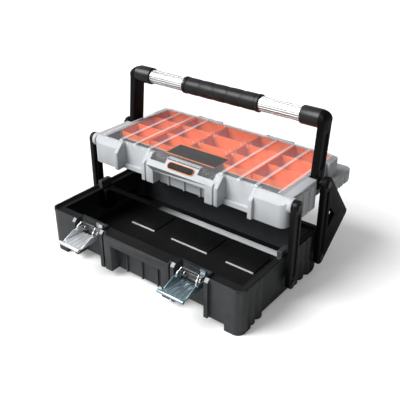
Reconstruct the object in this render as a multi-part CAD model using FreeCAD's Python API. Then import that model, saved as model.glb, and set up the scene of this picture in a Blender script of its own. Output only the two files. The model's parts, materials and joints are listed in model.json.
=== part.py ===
import FreeCAD, Part
import math
import os

# A plastic tool box on a folding linkage, standing open on the ground at z = 0.
# X runs along the box, the front faces -Y. The pieces are drawn about the middle of
# the lower tub, then all are moved along Y so that the open box is centred.
# Lengths are in millimetres, angles in degrees.

# Lower tub
tub_width = 560.0
tub_depth = 316.0
tub_height = 113.0
tub_wall = 3.0
tub_floor = 3.0
foot_height = 16.0
foot_size = 40.0
corner_radius = 18.0
rim_height = 4.0
rim_proud = 2.5
ledge_width = 14.0
ledge_drop = 6.0
ledge_thickness = 3.0
pad_height = 3.0
pad_depth = 84.0
pad_setback = 178.0
pad_middle_share = 0.72

# Upright ribs on the sides of the tub
rib_proud = 4.0
rib_width = 20.0
rib_pitch = 26.0
rib_drop = 6.0
rib_top_drop = 1.0
front_rib_count = 3
rear_rib_count = 4
rear_rib_setback = 21.0

# Front of both boxes: two latch bays between ears, and a notched middle
bay_depth = 22.0
bay_width = 78.0
bay_center = 149.5
ear_width = 10.0
ear_proud = 7.0
ear_chamfer = 8.0
groove_width = 4.5
notch_half = 75.0
notch_depth = 24.0
tub_notch_height = 68.0
notch_rib_width = 4.0
notch_rib_proud = 4.0
notch_rib_pitch = 46.0
notch_rib_count = 3

# Linkage: two straight links in front and two looped arms behind
link_length = 186.0
organiser_lift = 68.9
top_pivot_rise = 51.7
front_pivot_y = 11.0
rear_pivot_y = 137.0
link_width = 28.0
arm_width = 34.0
link_thickness = 12.0
link_gap = 4.0
link_channel_width = 12.0
link_channel_depth = 3.0
kink_reach = 112.0
kink_height = 73.0
kink_radius = 9.0
window_top = 125.0
window_bottom = 71.0
window_reach = 46.0
window_height = 94.0
pin_radius = 5.0
pin_head_radius = 8.0
pin_head = 2.0
boss_radius = 16.0
running_gap = 0.06
open_pivot_gap = 0.4
face_gap = 0.3

# Organiser
organiser_width = 554.0
organiser_depth = 305.0
organiser_height = 67.0
organiser_wall = 3.0
seat_gap = 0.4
organiser_notch_height = 34.0
front_slope_height = 45.0
front_slope_depth = 22.0
shelf_depth = 46.0
shelf_drop = 40.0
shelf_side = 15.0
recess_ahead = 20.5
recess_behind = 65.0
recess_depth = 22.0
tray_width = 494.0
tray_front = 68.0
tray_rear = 52.0
tray_floor_height = 6.0
skirt_drop = 4.0
catch_height = 11.0
catch_reach = 8.0
side_rib_gap_share = 0.22
side_rib_proud = 2.0
side_rib_count = 3
pocket_depth = 26.0
pocket_setback = 4.0
pocket_edge = 5.0
tray_front_drop = 16.0

# Bins in the organiser's tray
bin_wall = 1.6
bin_gap = 0.8
bin_corner = 5.0
bin_top_gap = 1.5
bin_columns = 5
bin_rows = 3

# Clear lid
lid_width = 505.0
lid_thickness = 3.0
lid_apron = 4.0
lid_long_apron = 18.0
lid_rib_apron = 22.0
lid_rail_width = 6.0
lid_corner = 12.0
lid_rib_width = 8.0
lid_rib_height = 3.0
lid_rib_inner = 104.0
lid_rib_outer = 194.0
lid_rib_inset = 6.0
hinge_x = 105.0
hinge_length = 60.0
hinge_back = 5.0
barrel_radius = 3.0
hinge_pin_radius = 1.5
lug_width = 8.0
card_width = 140.0
card_depth = 62.0
card_setback = 20.0
card_thickness = 1.0
badge_length = 76.0
badge_height = 18.0
badge_thickness = 2.0
badge_gap = 4.0

# Carrying handle
handle_reach = 138.6
handle_lean = 5.5
post_outer = 273.0
post_thickness = 15.0
post_depth = 38.0
post_channel = 2.5
elbow_radius = 20.5
elbow_corner = 24.0
elbow_hold = 34.0
tube_radius = 17.0
tube_wall = 1.6
tube_setback = 12.0
grip_radius = 19.4
grip_half = 107.0
grip_collar_radius = 20.6
grip_collar = 6.0
grip_bump_radius = 2.2
grip_bump_count = 5

# Draw latches
latch_z = 90.0
latch_standoff = 12.0
base_width = 46.0
base_height = 36.0
sheet = 2.0
lug_half = 20.0
lug_height = 14.0
lever_width = 60.0
lever_length = 74.0
lever_drop = 9.0
lever_flange = 15.0
lever_nose = 3.0
lever_curl = 4.0
lever_flare = 4.0
lever_bead_radius = 3.0
lever_bead_count = 4
latch_pin_radius = 2.5
latch_pin_head = 1.5
wire_radius = 2.0
bail_forward = 24.0
bail_rise = 3.0
hook_forward = 9.0
hook_rise = 20.0
hook_width = 42.0
hook_height = 13.0
hook_curl = 4.0

# Brackets and strip inside the tub
tower_width = 27.0
tower_depth = 34.0
tower_height = 54.0
tower_top = 19.0
tower_top_width = 12.0
strip_depth = 16.0
strip_thickness = 3.0
strip_end_gap = 1.0

overrun = 1.0
tiny = 0.001

# Places worked out from the sizes above
tub_half = tub_width / 2
tub_front = -tub_depth / 2
tub_rear = tub_depth / 2
wall_half = tub_half - rib_proud
ledge_z = tub_height - ledge_drop
ear_in = bay_center - bay_width / 2
ear_out = bay_center + bay_width / 2
centre_half = ear_in - ear_width - groove_width
link_inner = tub_half + link_gap
link_outer = link_inner + link_thickness
close_turn = math.acos(1 - organiser_lift / link_length)
close_shift = link_length * math.sin(close_turn)
organiser_half = organiser_width / 2
organiser_front = close_shift - organiser_depth / 2
organiser_rear = organiser_front + organiser_depth
organiser_bottom = tub_height + seat_gap + organiser_lift
pivot_top = organiser_bottom + top_pivot_rise
pivot_height = pivot_top - link_length
organiser_top = organiser_bottom + organiser_height
organiser_proud = organiser_front - ear_proud
slope_z = organiser_bottom + front_slope_height
lid_front = organiser_proud + front_slope_depth
front_slope = math.atan2(organiser_top - slope_z, front_slope_depth)
slope_rear = organiser_rear - shelf_depth
upper_half = organiser_half - shelf_side
lid_rear = slope_rear - hinge_back - barrel_radius
hinge_y = lid_rear + hinge_back
lid_under = organiser_top + face_gap
hinge_z = lid_under + barrel_radius
tray_y = organiser_front + tray_front
tray_depth = organiser_depth - tray_front - tray_rear
tray_floor = organiser_bottom + tray_floor_height
post_inner = post_outer - post_thickness
tube_half = post_inner - tube_setback
elbow_inner = tube_half - elbow_hold
tube_z = pivot_top + handle_reach
recess_half = organiser_half - recess_depth
recess_front = rear_pivot_y - recess_ahead
recess_rear = rear_pivot_y + recess_behind
lever_y = tub_front + bay_depth - latch_standoff
lever_tip = lever_y - lever_length
centre_y = (lever_tip - lever_curl + organiser_rear) / 2


def vec(x, y, z):
    return FreeCAD.Vector(x, y, z)


def block(x0, x1, y0, y1, z0, z1):
    """A box between two opposite corners."""
    return Part.makeBox(x1 - x0, y1 - y0, z1 - z0, vec(x0, y0, z0))


def rod(radius, x0, x1, y, z):
    """A round bar along X."""
    return Part.makeCylinder(radius, x1 - x0, vec(x0, y, z), vec(1, 0, 0))


def upright(points, z0, z1):
    """A plan outline raised from z0 to z1."""
    ring = [vec(x, y, z0) for x, y in points]
    return Part.Face(Part.makePolygon(ring + ring[:1])).extrude(vec(0, 0, z1 - z0))


def sideways(points, x0, x1):
    """A side outline, as (y, z), stretched from x0 to x1."""
    ring = [vec(x0, y, z) for y, z in points]
    return Part.Face(Part.makePolygon(ring + ring[:1])).extrude(vec(x1 - x0, 0, 0))


def mirrored(shape):
    return shape.mirror(vec(0, 0, 0), vec(1, 0, 0))


def both_sides(shape):
    return [shape, mirrored(shape)]


def joined(shapes):
    return shapes[0].multiFuse(shapes[1:]).removeSplitter()


def turned(shape, y, z, degrees):
    """The shape turned about an axis along X through (y, z)."""
    result = shape.copy()
    result.rotate(vec(0, y, z), vec(1, 0, 0), degrees)
    return result


def moved(shape, x):
    result = shape.copy()
    result.translate(vec(x, 0, 0))
    return result


def plan(half, front, rear, notched, side=()):
    """Outline of a box from above: bays, ears and middle along its front."""
    proud = front - ear_proud
    back = front + bay_depth
    right = [(centre_half, proud), (centre_half, front)]
    right += [(ear_in - ear_width, front), (ear_in - ear_width, proud)]
    right += [(ear_in, proud), (ear_in, back), (ear_out, back), (ear_out, proud)]
    right += [(ear_out + ear_width, proud), (ear_out + ear_width, front)]
    right += [(half, front)] + list(side) + [(half, rear)]
    if notched:
        right = [(notch_half, proud + notch_depth), (notch_half, proud)] + right
    return right + [(-x, y) for x, y in reversed(right)]


def inset(points, gap):
    """The same square-cornered outline, drawn in by a gap."""
    result = []
    for i, (x, y) in enumerate(points):
        px, py = points[i - 1]
        nx, ny = points[(i + 1) % len(points)]
        dx = -math.copysign(gap, y - py) if abs(y - py) > abs(x - px) else 0
        dy = math.copysign(gap, x - px) if abs(x - px) > abs(y - py) else 0
        dx += -math.copysign(gap, ny - y) if abs(ny - y) > abs(nx - x) else 0
        dy += math.copysign(gap, nx - x) if abs(nx - x) > abs(ny - y) else 0
        result.append((x + dx, y + dy))
    return result


def is_corner(edge, box):
    """True for an upright edge at an outer corner of a box."""
    a, b = edge.Vertexes[0], edge.Vertexes[-1]
    wide = abs(abs(a.X) - box.XMax) < tiny
    rear = abs(a.Y - box.YMax) < tiny
    level = math.hypot(a.X - b.X, a.Y - b.Y) < tiny
    front = a.Y < box.YMin + ear_proud + tiny
    return level and wide and (rear or front)


def rounded(solid, radius):
    """The box with its four outer corners rounded."""
    edges = [edge for edge in solid.Edges if is_corner(edge, solid.BoundBox)]
    return solid.makeFillet(radius, edges)


def stadium(y0, z0, y1, z1, width, x0, x1):
    """A flat bar with round ends about two pivots, between x0 and x1."""
    along = math.hypot(y1 - y0, z1 - z0)
    cy = -(z1 - z0) / along * width / 2
    cz = (y1 - y0) / along * width / 2
    web = [(y0 + cy, z0 + cz), (y1 + cy, z1 + cz), (y1 - cy, z1 - cz), (y0 - cy, z0 - cz)]
    ends = [rod(width / 2, x0, x1, y0, z0), rod(width / 2, x0, x1, y1, z1)]
    return joined([sideways(web, x0, x1)] + ends)


def tub_ribs():
    """Wide rounded ribs on the right wall, in a front and a rear group."""
    radius = (rib_width ** 2 / 4 + rib_proud ** 2) / (2 * rib_proud)
    low = foot_height - rib_drop
    height = tub_height - rib_top_drop - low
    first = tub_front + corner_radius
    last = tub_rear - rear_rib_setback
    places = [(tub_half - radius, first + i * rib_pitch) for i in range(front_rib_count)]
    places += [(tub_half - radius, last - i * rib_pitch) for i in range(rear_rib_count)]
    return [Part.makeCylinder(radius, height, vec(x, y, low)) for x, y in places]


def tub_feet(outline):
    """Four corner feet, cut from the tub's own outline."""
    slab = rounded(upright(outline, 0, foot_height + tub_floor), corner_radius)
    feet = []
    for y0, y1 in ((tub_front, tub_front + foot_size), (tub_rear - foot_size, tub_rear)):
        corner = block(wall_half - foot_size, wall_half, y0, y1, 0, foot_height)
        feet += both_sides(slab.common(corner))
    return feet


def notch_ribs(front, z0, z1):
    """Thin upright ribs on the back wall of the notched middle."""
    back = front - ear_proud + notch_depth
    ribs = []
    for i in range(notch_rib_count):
        x = (i - (notch_rib_count - 1) / 2) * notch_rib_pitch - notch_rib_width / 2
        ribs.append(block(x, x + notch_rib_width, back - notch_rib_proud, back, z0, z1))
    return ribs


def tub_shell(low, high, notch_z):
    """Outer walls, rim, ribs and feet of the tub, still solid inside."""
    pieces = [rounded(upright(low, foot_height, notch_z), corner_radius)]
    pieces.append(rounded(upright(high, notch_z, tub_height), corner_radius))
    rim = plan(wall_half + rim_proud, tub_front, tub_rear, False)
    pieces.append(rounded(upright(rim, tub_height - rim_height, tub_height), corner_radius))
    for rib in tub_ribs():
        pieces += both_sides(rib)
    pieces += tub_feet(high)
    pieces += notch_ribs(tub_front, foot_height, notch_z)
    for y in (front_pivot_y, rear_pivot_y):
        boss = rod(boss_radius, wall_half - tub_wall, link_inner - face_gap, y, pivot_height)
        pieces += both_sides(boss)
    return joined(pieces)


def tub_cavity(low, high, notch_z):
    """The room inside the tub."""
    top = tub_height + overrun
    radius = corner_radius - tub_wall
    lower = rounded(upright(inset(low, tub_wall), foot_height + tub_floor, top), radius)
    upper = rounded(upright(inset(high, tub_wall), notch_z + tub_wall, top), radius)
    return lower.fuse(upper)


def tub_ledge(high):
    """Ledge inside the rim that the organiser's underside sits over."""
    flange = upright(inset(high, tub_wall), ledge_z - ledge_thickness, ledge_z)
    flange = rounded(flange, corner_radius - tub_wall)
    reach = wall_half - tub_wall - ledge_width
    front = tub_front + bay_depth + tub_wall + ledge_thickness
    back = tub_rear - tub_wall - ledge_width
    opening = block(-reach, reach, front, back, foot_height, tub_height)
    return flange.cut(opening)


def ear_wedge(proud, top):
    """The sloping cut at the top of the ears and middle."""
    points = [(proud - overrun, top - ear_chamfer - overrun), (proud - overrun, top + overrun)]
    points.append((proud + ear_chamfer + overrun, top + overrun))
    return sideways(points, -ear_out - ear_width - overrun, ear_out + ear_width + overrun)


def floor_pads():
    """Three shallow raised pads on the tub's floor, each with a sloping front edge."""
    low = foot_height + tub_floor
    y0 = tub_front + pad_setback
    y1, top = y0 + pad_depth, low + pad_height
    outline = [(y0, low), (y0 + pad_height, top), (y1, top), (y1, low)]
    spans = [(-ear_out, -ear_in), (-bay_width * pad_middle_share, bay_width * pad_middle_share)]
    spans.append((ear_in, ear_out))
    return [sideways(outline, a, b) for a, b in spans]


def bracket_top():
    """Block on the right ledge, above the bracket."""
    outer = wall_half - tub_wall
    half = tower_depth / 2
    y = front_pivot_y
    return block(outer - tower_top_width, outer, y - half, y + half, ledge_z, ledge_z + tower_top)


def tub():
    low = plan(wall_half, tub_front, tub_rear, True)
    high = plan(wall_half, tub_front, tub_rear, False)
    notch_z = foot_height + tub_notch_height
    shell = tub_shell(low, high, notch_z).cut(tub_cavity(low, high, notch_z))
    shell = shell.cut(ear_wedge(tub_front - ear_proud, tub_height))
    body = joined([shell, tub_ledge(high)] + floor_pads() + both_sides(bracket_top()))
    for y in (front_pivot_y, rear_pivot_y):
        for bore in both_sides(low_pin(y)):
            body = body.cut(bore)
    return body


def low_pin(y):
    """Pivot pin in the tub's right wall, with its head outside the link."""
    inner = wall_half - tub_wall
    shank = rod(pin_radius, inner, link_outer + face_gap, y, pivot_height)
    head_x = link_outer + face_gap
    return shank.fuse(rod(pin_head_radius, head_x, head_x + pin_head, y, pivot_height))


def low_pins():
    pins = []
    for y in (front_pivot_y, rear_pivot_y):
        pins += both_sides(low_pin(y))
    return Part.makeCompound(pins)


def link_bores(y, top_gap):
    """Holes at a link's two pivots."""
    x0 = link_inner - overrun
    x1 = link_outer + overrun
    low = rod(pin_radius + running_gap, x0, x1, y, pivot_height)
    return [low, rod(pin_radius + top_gap, x0, x1, y, pivot_top)]


def channel(y, width):
    """Shallow channel along the outer face of a link, between its pivots."""
    end = boss_radius + width / 2
    x0 = link_outer - link_channel_depth
    return stadium(y, pivot_height + end, y, pivot_top - end, width, x0, link_outer + overrun)


def front_link():
    """Right front link, upright in the open box."""
    y = front_pivot_y
    bar = stadium(y, pivot_height, y, pivot_top, link_width, link_inner, link_outer)
    cuts = link_bores(y, open_pivot_gap) + [channel(y, link_channel_width)]
    return bar.cut(Part.makeCompound(cuts))


def rear_arm():
    """Right rear arm: an upright bar with a bent loop behind it, in one moulding."""
    y = rear_pivot_y
    x0, x1 = link_inner, link_outer
    bar = stadium(y, pivot_height, y, pivot_top, arm_width, x0, x1)
    half = arm_width / 2
    ky, kz = y + kink_reach - kink_radius, pivot_height + kink_height
    low_tangent = tangent_points(y, pivot_height, half, ky, kz, kink_radius, -1)
    top_tangent = tangent_points(y, pivot_top, half, ky, kz, kink_radius, 1)
    outline = [(y, pivot_height), low_tangent[0], low_tangent[1], (ky, kz)]
    outline += [top_tangent[1], top_tangent[0], (y, pivot_top)]
    loop = joined([bar, sideways(outline, x0, x1), rod(kink_radius, x0, x1, ky, kz)])
    window = [(y + half, pivot_height + window_bottom), (y + window_reach, pivot_height + window_height)]
    window.append((y + half, pivot_height + window_top))
    cuts = link_bores(y, running_gap) + [channel(y, link_channel_width)]
    cuts.append(sideways(window, x0 - overrun, x1 + overrun))
    return loop.cut(Part.makeCompound(cuts))


def tangent_points(y0, z0, r0, y1, z1, r1, side):
    """Where the outer common tangent touches two circles."""
    along = math.hypot(y1 - y0, z1 - z0)
    heading = math.atan2(z1 - z0, y1 - y0)
    angle = heading + side * math.acos((r0 - r1) / along)
    cy, cz = math.cos(angle), math.sin(angle)
    return (y0 + r0 * cy, z0 + r0 * cz), (y1 + r1 * cy, z1 + r1 * cz)


def organiser_plan(notched):
    """Plan of the organiser, with a recess in each side for post and arm."""
    y0, y1 = recess_front, recess_rear
    side = [(organiser_half, y0), (recess_half, y0), (recess_half, y1), (organiser_half, y1)]
    return plan(organiser_half, organiser_front, organiser_rear, notched, side)


def slopes(wall):
    """Cuts for the organiser's sloping front and for its rear shelf, sunk by a wall."""
    x, up = organiser_half + overrun, organiser_top + overrun
    y = organiser_proud - overrun
    drop = wall / math.cos(front_slope)
    front = [(organiser_proud, slope_z - drop), (lid_front, organiser_top - drop), (lid_front, up)]
    front += [(y, up), (y, slope_z - drop)]
    shelf = organiser_top - shelf_drop - wall
    half, rear = upper_half - wall, slope_rear - wall
    above = block(-x, x, recess_rear, organiser_rear + overrun, shelf, up)
    kept = soft_box(-half, half, recess_front, rear, shelf - overrun, up + overrun, lid_corner - wall)
    return Part.makeCompound([sideways(front, -x, x), above.cut(kept)])


def organiser_outer():
    """Outside of the organiser, still solid."""
    notch_z = organiser_bottom + organiser_notch_height
    low = rounded(upright(organiser_plan(True), organiser_bottom, notch_z), corner_radius)
    high = rounded(upright(organiser_plan(False), notch_z, organiser_top), corner_radius)
    return low.fuse(high).cut(slopes(0))


def organiser_inner():
    """Room under the organiser's walls and deck."""
    wall = organiser_wall
    notch_z = organiser_bottom + organiser_notch_height
    radius = corner_radius - wall
    top = organiser_top - wall
    low = rounded(upright(inset(organiser_plan(True), wall), organiser_bottom - overrun, top), radius)
    high = rounded(upright(inset(organiser_plan(False), wall), notch_z + wall, top), radius)
    return low.fuse(high).cut(slopes(wall))


def pocket_rooms(grow):
    """Rooms under the front of the lid, grown by a wall: one across, and two at each end."""
    z0 = organiser_top - pocket_depth - grow
    up = organiser_top + overrun
    y0 = organiser_front + bay_depth + organiser_wall
    y1 = tray_y - organiser_wall
    x = tray_width / 2
    rooms = [block(-x - grow, x + grow, y0 - grow, y1 + grow, z0, up)]
    inner = badge_length / 2 + badge_gap + pocket_edge
    outer = ear_out + ear_width + pocket_edge
    spans = ((inner, centre_half - pocket_edge, organiser_front), (outer, x, lid_front))
    for x0, x1, front in spans:
        y = front + pocket_setback
        rooms += both_sides(block(x0 - grow, x1 + grow, y - grow, y0 + overrun, z0, up))
    return joined(rooms)


def tray_block(grow, z0, z1):
    """The tray's room, grown by a wall."""
    x = tray_width / 2 + grow
    return block(-x, x, tray_y - grow, tray_y + tray_depth + grow, z0, z1)


def organiser_extras():
    """Link bosses, catches for the latches, side ribs and hinge lugs."""
    pieces = []
    inner = organiser_half - organiser_wall
    boss = rod(boss_radius, inner, link_inner - face_gap, front_pivot_y, pivot_top)
    limit = block(inner, link_inner, organiser_front, organiser_rear, organiser_bottom, organiser_top)
    pieces += both_sides(boss.common(limit))
    back = organiser_front + bay_depth
    z1 = organiser_bottom + catch_height
    for x0 in (ear_in, -ear_out):
        pieces.append(block(x0, x0 + bay_width, back - catch_reach, back, organiser_bottom, z1))
    back = organiser_proud + notch_depth
    z0 = organiser_bottom - skirt_drop
    pieces.append(block(-notch_half, notch_half, back, back + organiser_wall, z0, slope_z))
    front_ribs = side_ribs(front_pivot_y + boss_radius, recess_front, organiser_top - ear_chamfer)
    shelf = organiser_top - shelf_drop - organiser_wall
    for rib in front_ribs + side_ribs(recess_rear, organiser_rear - corner_radius, shelf):
        pieces += both_sides(rib)
    pieces += hinge_lugs()
    pieces += notch_ribs(organiser_front, z0, organiser_bottom + organiser_notch_height)
    return pieces


def side_ribs(y0, y1, top):
    """Wide flat ribs on the right side, shared out between two places along Y."""
    pitch = (y1 - y0) / side_rib_count
    edge = pitch * side_rib_gap_share / 2
    x0, x1 = organiser_half - organiser_wall, organiser_half + side_rib_proud
    ribs = []
    for i in range(side_rib_count):
        start = y0 + i * pitch
        ribs.append(block(x0, x1, start + edge, start + pitch - edge, organiser_bottom, top))
    return ribs


def hinge_lugs():
    """Lugs on the deck at both ends of each lid barrel."""
    lugs = []
    half = hinge_length / 2 + face_gap
    for x in (-hinge_x, hinge_x):
        for x0 in (x - half - lug_width, x + half):
            foot = block(x0, x0 + lug_width, hinge_y - barrel_radius, hinge_y + barrel_radius,
                         organiser_top - organiser_wall, hinge_z)
            lug = foot.fuse(rod(barrel_radius, x0, x0 + lug_width, hinge_y, hinge_z))
            lugs.append(lug.cut(hinge_pin(x)))
    return lugs


def hinge_pin(x):
    half = hinge_length / 2 + face_gap + lug_width
    return rod(hinge_pin_radius, x - half, x + half, hinge_y, hinge_z)


def organiser():
    wall = organiser_wall
    tray = tray_block(wall, organiser_bottom, organiser_top)
    outer = organiser_outer()
    pocket = pocket_rooms(wall).common(outer)
    body = joined([outer.cut(organiser_inner()), tray, pocket] + organiser_extras())
    body = body.cut(tray_block(0, tray_floor, organiser_top + overrun)).cut(pocket_rooms(0))
    low_wall = block(-tray_width / 2, tray_width / 2, tray_y - wall - overrun, tray_y + overrun,
                     organiser_top - tray_front_drop, organiser_top + overrun)
    body = body.cut(low_wall)
    under = tray_block(-wall, organiser_bottom - overrun, tray_floor - wall)
    body = body.cut(under)
    for pin in both_sides(front_top_pin()) + both_sides(handle_pin()):
        body = body.cut(pin)
    return body


def front_top_pin():
    """Pin from the organiser's boss through the right front link's top."""
    inner = organiser_half - organiser_wall
    head_x = link_outer + face_gap
    shank = rod(pin_radius, inner, head_x, front_pivot_y, pivot_top)
    return shank.fuse(rod(pin_head_radius, head_x, head_x + pin_head, front_pivot_y, pivot_top))


def handle_pin():
    """Shouldered pin through the recess wall, the handle post and the rear arm."""
    y, z = rear_pivot_y, pivot_top
    inner = recess_half - organiser_wall
    head_x = link_outer + face_gap
    shank = rod(pin_radius, inner, head_x, y, z)
    collar_in = rod(pin_head_radius, recess_half, post_inner - face_gap, y, z)
    collar = rod(pin_head_radius, post_outer + face_gap, link_inner - face_gap, y, z)
    head = rod(pin_head_radius, head_x, head_x + pin_head, y, z)
    return joined([shank, collar_in, collar, head])


def bin_shell(x0, x1, y0, y1):
    """An open bin with rounded upright corners, standing on the tray floor."""
    z0, z1 = tray_floor, organiser_top - bin_top_gap
    x0, x1 = x0 + bin_gap / 2, x1 - bin_gap / 2
    y0, y1 = y0 + bin_gap / 2, y1 - bin_gap / 2
    outer = soft_box(x0, x1, y0, y1, z0, z1, bin_corner)
    w = bin_wall
    return outer.cut(soft_box(x0 + w, x1 - w, y0 + w, y1 - w, z0 + w, z1 + overrun, bin_corner - w))


def soft_box(x0, x1, y0, y1, z0, z1, radius):
    """A box with its four upright edges rounded."""
    solid = block(x0, x1, y0, y1, z0, z1)
    edges = [e for e in solid.Edges if abs(e.Vertexes[0].Z - e.Vertexes[-1].Z) > tiny]
    return solid.makeFillet(radius, edges)


def bins():
    """Equal bins that fill the tray, named by column from the left and row from the front."""
    width = tray_width / bin_columns
    depth = tray_depth / bin_rows
    cells = {}
    for i in range(bin_columns):
        for j in range(bin_rows):
            x, y = i * width - tray_width / 2, tray_y + j * depth
            cells["bin_%d_%d" % (i + 1, j + 1)] = bin_shell(x, x + width, y, y + depth)
    return cells


def lid_profile(lift, rear, apron):
    """Side outline of the lid's sheet, raised by a lift, from an apron on the slope to a rear edge."""
    tip_y = lid_front - apron * math.cos(front_slope)
    tip_z = lid_under - apron * math.sin(front_slope)
    top = lid_under + lid_thickness + lift
    under = [(rear, lid_under), (lid_front, lid_under), (tip_y, tip_z)]
    return under + [(tip_y, tip_z + lid_thickness + lift), (lid_front, top), (rear, top)]


def lid_rails(half):
    """Raised rails along the lid's two ends and its rear edge."""
    z0 = lid_under
    z1 = lid_under + lid_thickness + lid_rib_height
    side = block(half - lid_rail_width, half, lid_front, lid_rear, z0, z1)
    return both_sides(side) + [block(-half, half, lid_rear - lid_rail_width, lid_rear, z0, z1)]


def lid_corner_cut(half):
    """What is cut off to round the lid's right rear corner."""
    x, y = half - lid_corner, lid_rear - lid_corner
    z0, z1 = organiser_top, organiser_top + organiser_height
    square = block(x, half + overrun, y, lid_rear + overrun, z0, z1)
    return square.cut(Part.makeCylinder(lid_corner, z1 - z0, vec(x, y, z0)))


def lid_ribs():
    """Raised ribs from front to back: the outer ones run down the slope, the middle one stops short."""
    rear = lid_rear - lid_rib_inset
    places = ((lid_rib_inner, lid_rib_apron), (bay_center, lid_apron), (lid_rib_outer, lid_rib_apron))
    ribs = []
    for place, apron in places:
        outline = lid_profile(lid_rib_height, rear, apron)
        x0, x1 = place - lid_rib_width / 2, place + lid_rib_width / 2
        ribs += both_sides(sideways(outline, x0, x1))
    return ribs


def lid():
    """Clear lid with rails and ribs, an apron over the front slope and two hinge barrels."""
    half = lid_width / 2
    pieces = [sideways(lid_profile(0, lid_rear, lid_apron), -half, half)]
    long_outline = lid_profile(0, lid_rear, lid_long_apron)
    pieces += both_sides(sideways(long_outline, badge_length / 2 + badge_gap, centre_half))
    pieces += lid_ribs() + lid_rails(half)
    pieces = [joined(pieces).cut(Part.makeCompound(both_sides(lid_corner_cut(half))))]
    for x in (-hinge_x, hinge_x):
        x0, x1 = x - hinge_length / 2, x + hinge_length / 2
        pieces.append(rod(barrel_radius, x0, x1, hinge_y, hinge_z))
        pieces.append(block(x0, x1, lid_rear - overrun, hinge_y, lid_under, hinge_z))
    body = joined(pieces)
    for x in (-hinge_x, hinge_x):
        bore = rod(hinge_pin_radius + running_gap, x - hinge_length, x + hinge_length, hinge_y, hinge_z)
        body = body.cut(bore)
    return body


def card():
    """Plain card held under the lid."""
    y0 = lid_front + card_setback
    half = card_width / 2
    return block(-half, half, y0, y0 + card_depth, lid_under - card_thickness, lid_under)


def badge():
    """Bare oval plate on the sloping front of the middle."""
    radius = badge_height / 2
    reach = badge_length / 2 - radius
    plate = block(-reach, reach, -radius, radius, 0, badge_thickness)
    for x in (-reach, reach):
        plate = plate.fuse(Part.makeCylinder(radius, badge_thickness, vec(x, 0, 0)))
    plate = plate.removeSplitter()
    plate.rotate(vec(0, 0, 0), vec(1, 0, 0), math.degrees(front_slope))
    plate.translate(vec(0, (organiser_proud + lid_front) / 2, (slope_z + organiser_top) / 2))
    return plate


def upright_handle():
    """Pieces of the handle before it leans back."""
    y, z = rear_pivot_y, pivot_top
    half = post_depth / 2
    post = stadium(y, z, y, tube_z, post_depth, post_inner, post_outer)
    elbow = rod(elbow_radius, elbow_inner, post_outer, y, tube_z)
    post = joined([post, elbow]).common(soft_corner(y))
    post = post.cut(rod(tube_radius, 0, tube_half, y, tube_z))
    post = post.cut(rod(pin_radius + running_gap, post_inner - overrun, post_outer + overrun, y, z))
    pocket = stadium(y, z + post_depth, y, tube_z - post_depth, half, post_outer - post_channel,
                     post_outer + overrun)
    post = post.cut(pocket)
    tube = rod(tube_radius, -tube_half, tube_half, y, tube_z)
    tube = tube.cut(rod(tube_radius - tube_wall, -tube_half, tube_half, y, tube_z))
    return post, tube, grip(y)


def soft_corner(y):
    """Envelope that rounds the handle's outer top corner."""
    reach = elbow_radius + overrun
    z0, z1 = pivot_top - post_depth, tube_z + elbow_radius
    solid = block(elbow_inner, post_outer, y - reach, y + reach, z0, z1)
    edges = []
    for edge in solid.Edges:
        a, b = edge.Vertexes
        high = min(a.Z, b.Z) > tube_z
        if high and min(a.X, b.X) > post_inner:
            edges.append(edge)
    return solid.makeFillet(elbow_corner, edges)


def grip(y):
    """Soft sleeve on the tube, with a collar at each end and moulded bumps in between."""
    sleeve = rod(grip_radius, -grip_half, grip_half, y, tube_z)
    pieces = [sleeve]
    for x in (-grip_half, grip_half - grip_collar):
        pieces.append(rod(grip_collar_radius, x, x + grip_collar, y, tube_z))
    pitch = 2 * grip_half / (grip_bump_count + 1)
    for i in range(grip_bump_count):
        x = -grip_half + (i + 1) * pitch
        radius = grip_radius - grip_bump_radius / 2
        pieces.append(Part.makeTorus(radius, grip_bump_radius, vec(x, y, tube_z), vec(1, 0, 0)))
    body = joined(pieces)
    return body.cut(rod(tube_radius, -grip_half - overrun, grip_half + overrun, y, tube_z))


def handle():
    """The handle's four pieces, leaning back about the rear pins."""
    post, tube, sleeve = upright_handle()
    pieces = {"handle_post_right": post, "handle_post_left": mirrored(post)}
    pieces["handle_tube"] = tube
    pieces["handle_grip"] = sleeve
    return {name: turned(shape, rear_pivot_y, pivot_top, -handle_lean) for name, shape in pieces.items()}


def latch_base():
    """Plate on the bay's back wall with two lugs for the lever's pin."""
    wall = tub_front + bay_depth
    half = base_width / 2
    plate = block(-half, half, wall - sheet, wall, latch_z - base_height / 2, latch_z + base_height / 2)
    pieces = [plate]
    for x0 in (-lug_half - sheet, lug_half):
        web = block(x0, x0 + sheet, lever_y, wall, latch_z - lug_height / 2, latch_z + lug_height / 2)
        pieces.append(web.fuse(rod(lug_height / 2, x0, x0 + sheet, lever_y, latch_z)))
    return joined(pieces).cut(rod(latch_pin_radius, -half, half, lever_y, latch_z))


def latch_pin():
    """Lever pin, with a flat head outside each flange."""
    half = lever_width / 2 + face_gap
    pin = rod(latch_pin_radius, -half, half, lever_y, latch_z)
    heads = [rod(2 * latch_pin_radius, x, x + latch_pin_head, lever_y, latch_z)
             for x in (-half - latch_pin_head, half)]
    return joined([pin] + heads)


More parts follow.
